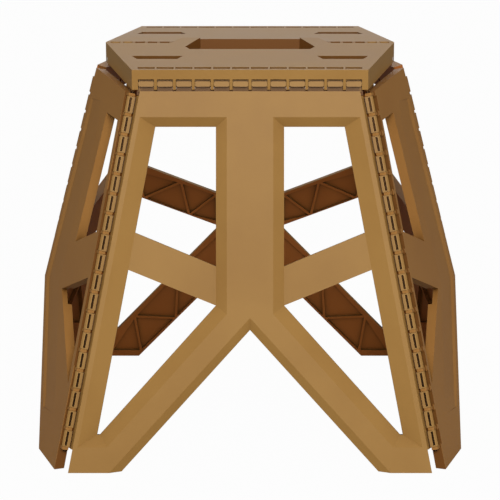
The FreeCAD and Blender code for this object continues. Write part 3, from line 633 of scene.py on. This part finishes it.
def seat_cuts(front):
    """The open ends of a seat half's top slits, and the ribbed hollow under it."""
    pin_y = FOOT_Y * (1 - PIN_Z / APEX)
    slope = math.atan2(SEAT_CROWN, pin_y)
    place = (Matrix.Translation((0, 0, PIN_Z)) @ Matrix.Rotation(math.pi if front else 0, 4, "Z")
             @ Matrix.Rotation(-slope, 4, "X"))
    wall = pin_y * math.cos(slope) + SEAT_WALL
    # each row: count, pitch, half width, from and to across the seat half, low and high level
    rows = ((12, 0.0152, 0.00665, wall - 0.0091, wall - 0.0044, 0.0070, 0.0190),
            (6, 0.0304, 0.0141, 0.0645, wall - 0.0100, -0.001, 0.0136),
            (3, 0.0335, 0.0157, 0.0290, 0.0620, -0.001, 0.0136))
    shape = bmesh.new()
    for count, pitch, half, near, far, low, high in rows:
        for k in range(count):
            x = (k - (count - 1) / 2) * pitch
            slab(shape, rectangle(x - half, x + half, near, far), low, high, place)
    return shape


class STOOL_OT_seat(bpy.types.Operator):
    """Dress the two halves of the seat"""
    bl_idname = "stool.dress_seat"
    bl_label = "Dress the seat"

    def execute(self, context):
        for node in SEATS:
            piece = moulding(node, seat_cuts("front" in node), context)
            # the walls of the seat's hole and long slots get the deeper painted shade
            paint_face_shade(piece.data, Matrix.Translation((0, 0, PIN_Z)), SEAT_DEPTH, openings=True)
            dress(piece, node, context)
        return {"FINISHED"}


class STOOL_OT_legs(bpy.types.Operator):
    """Dress the front and rear leg panels and trim their hinges"""
    bl_idname = "stool.dress_legs"
    bl_label = "Dress the leg panels"

    def execute(self, context):
        for node in LEGS:
            front = node.startswith("front")
            piece = moulding(node, leg_cuts(front), context)
            paint_face_shade(piece.data, leg_place(front), PANEL_DEPTH)
            dress(piece, node, context)
            trim = leg_trim(front, node + "_hinge_trim")
            trim.data.materials.append(piece.data.materials[0])
            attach(trim, BODY_OF[node])
        return {"FINISHED"}


class STOOL_OT_sides(bpy.types.Operator):
    """Dress the four side panels"""
    bl_idname = "stool.dress_sides"
    bl_label = "Dress the side panels"

    def execute(self, context):
        for node in SIDES:
            left, front = node.startswith("left"), "front" in node
            piece = moulding(node, side_cuts(left, front), context)
            # the side halves' outer faces get a little painted shade, darker and redder
            paint_face_shade(piece.data, side_place(left, front), PANEL_DEPTH, shown=OUTER_SIDE_SHADE, slots=True)
            dress(piece, node, context)
        return {"FINISHED"}


class STOOL_OT_rods(bpy.types.Operator):
    """Give the hinge rods their drawn steel finish"""
    bl_idname = "stool.dress_rods"
    bl_label = "Dress the hinge rods"

    def execute(self, context):
        steel = material_named("drawn_hinge_wire", hinge_steel, context.scene.stool_finish)
        for node in RODS:
            for slot in frame["nodes"][node].material_slots:
                slot.material = steel
        return {"FINISHED"}


def seen_directly(tree):
    """1 for what the camera sees itself or through glass, and 0 for what only lights other things."""
    path = tree.nodes.new("ShaderNodeLightPath")
    seen = tree.nodes.new("ShaderNodeMath")
    seen.operation = "ADD"
    seen.use_clamp = True
    tree.links.new(path.outputs["Is Camera Ray"], seen.inputs[0])
    tree.links.new(path.outputs["Is Transmission Ray"], seen.inputs[1])
    return seen.outputs[0]


def floor_material(white):
    """A floor that the camera sees as nearly plain white, with a faint shadow."""
    material, tree = new_material("studio_floor")
    tree.nodes.clear()
    out = tree.nodes.new("ShaderNodeOutputMaterial")
    share = tree.nodes.new("ShaderNodeMath")
    share.operation = "MULTIPLY"
    share.inputs[1].default_value = white
    tree.links.new(seen_directly(tree), share.inputs[0])
    paint = tree.nodes.new("ShaderNodeBsdfDiffuse")
    paint.inputs["Color"].default_value = (FLOOR_GREY, FLOOR_GREY, FLOOR_GREY, 1)
    glow = tree.nodes.new("ShaderNodeEmission")
    glow.inputs["Strength"].default_value = 1.0
    mix = tree.nodes.new("ShaderNodeMixShader")
    tree.links.new(share.outputs[0], mix.inputs["Fac"])
    tree.links.new(paint.outputs[0], mix.inputs[1])
    tree.links.new(glow.outputs[0], mix.inputs[2])
    tree.links.new(mix.outputs[0], out.inputs["Surface"])
    return material


def soft_light(name, place, aim, size, power):
    """A square soft light at a place, aimed at a point over the stool's centre."""
    lamp = bpy.data.lights.new(name, "AREA")
    lamp.shape = "SQUARE"
    lamp.size = size
    lamp.energy = power
    holder = link(bpy.data.objects.new(name, lamp))
    holder.location = place
    holder.rotation_euler = (Vector((0, 0, aim)) - Vector(place)).to_track_quat("-Z", "Y").to_euler()


def white_room(strength):
    """A world that the camera sees as white and that lights the stool evenly with a strength."""
    world = bpy.data.worlds.new("white_room")
    world.use_nodes = True
    tree = world.node_tree
    sky = tree.nodes["Background"]
    sky.inputs["Color"].default_value = (1, 1, 1, 1)
    level = ranged(tree, seen_directly(tree), to_min=strength, to_max=1.0)
    tree.links.new(level, sky.inputs["Strength"])
    return world


class STOOL_OT_studio(bpy.types.Operator):
    """Set the floor, the soft lights, the white room and the camera"""
    bl_idname = "stool.set_studio"
    bl_label = "Set the studio"

    def execute(self, context):
        scene = context.scene
        studio = scene.stool_studio
        corners = rectangle(-FLOOR_HALF, FLOOR_HALF, -FLOOR_HALF, FLOOR_HALF)
        mesh = bpy.data.meshes.new("studio_floor")
        mesh.from_pydata([(x, y, FLOOR_Z) for x, y in corners], [], [(0, 1, 2, 3)])
        mesh.materials.append(floor_material(studio.floor_white))
        floor = link(bpy.data.objects.new("studio_floor", mesh))
        # each light: name, place, height that it is aimed at, size and power
        for light in (("front_softbox", (0.1, -2.5, 1.3), 0.18, 1.1, studio.key_power),
                      ("overhead_softbox", (0.0, 1.5, 2.1), 0.2, 1.5, studio.top_power),
                      ("back_softbox", (0.0, 2.6, 0.9), 0.3, 1.4, studio.back_power),
                      ("left_softbox", (-2.2, -0.6, 0.9), 0.2, 1.2, studio.side_power),
                      ("right_softbox", (2.2, -0.6, 0.9), 0.2, 1.2, studio.side_power)):
            soft_light(*light)
        scene.world = white_room(studio.sky_strength)
        camera_data = bpy.data.cameras.new("photo_camera")
        camera_data.lens = studio.camera_lens
        camera_data.sensor_width = SENSOR_WIDTH
        camera_data.clip_end = CLIP_END
        camera = link(bpy.data.objects.new("photo_camera", camera_data))
        camera.location = (0, -studio.camera_distance, studio.camera_height)
        camera.rotation_euler = (math.pi / 2 - studio.camera_pitch, 0, 0)
        scene.camera = camera
        scene.view_settings.view_transform = "Standard"
        return {"FINISHED"}


class STOOL_PT_panel(bpy.types.Panel):
    """Lists the settings and the operators of the stool"""
    bl_idname = "STOOL_PT_panel"
    bl_label = "Folding stool"
    bl_space_type = "VIEW_3D"
    bl_region_type = "UI"
    bl_category = "Stool"

    def draw(self, context):
        layout = self.layout
        for group in (context.scene.stool_finish, context.scene.stool_studio):
            box = layout.box()
            for key in group.__annotations__:
                box.prop(group, key)
        for operator in OPERATORS:
            layout.operator(operator.bl_idname)


GROUPS = (StoolFinish, StoolStudio)
OPERATORS = (STOOL_OT_seat, STOOL_OT_legs, STOOL_OT_sides, STOOL_OT_rods, STOOL_OT_studio)


def register():
    for item in (*GROUPS, *OPERATORS, STOOL_PT_panel):
        bpy.utils.register_class(item)
    bpy.types.Scene.stool_finish = PointerProperty(type=StoolFinish)
    bpy.types.Scene.stool_studio = PointerProperty(type=StoolStudio)


def unregister():
    del bpy.types.Scene.stool_studio
    del bpy.types.Scene.stool_finish
    for item in reversed((*GROUPS, *OPERATORS, STOOL_PT_panel)):
        bpy.utils.unregister_class(item)


def main():
    register()
    bpy.ops.stool.dress_seat()
    bpy.ops.stool.dress_legs()
    bpy.ops.stool.dress_sides()
    bpy.ops.stool.dress_rods()
    bpy.ops.stool.set_studio()


if __name__ == "__main__":
    main()
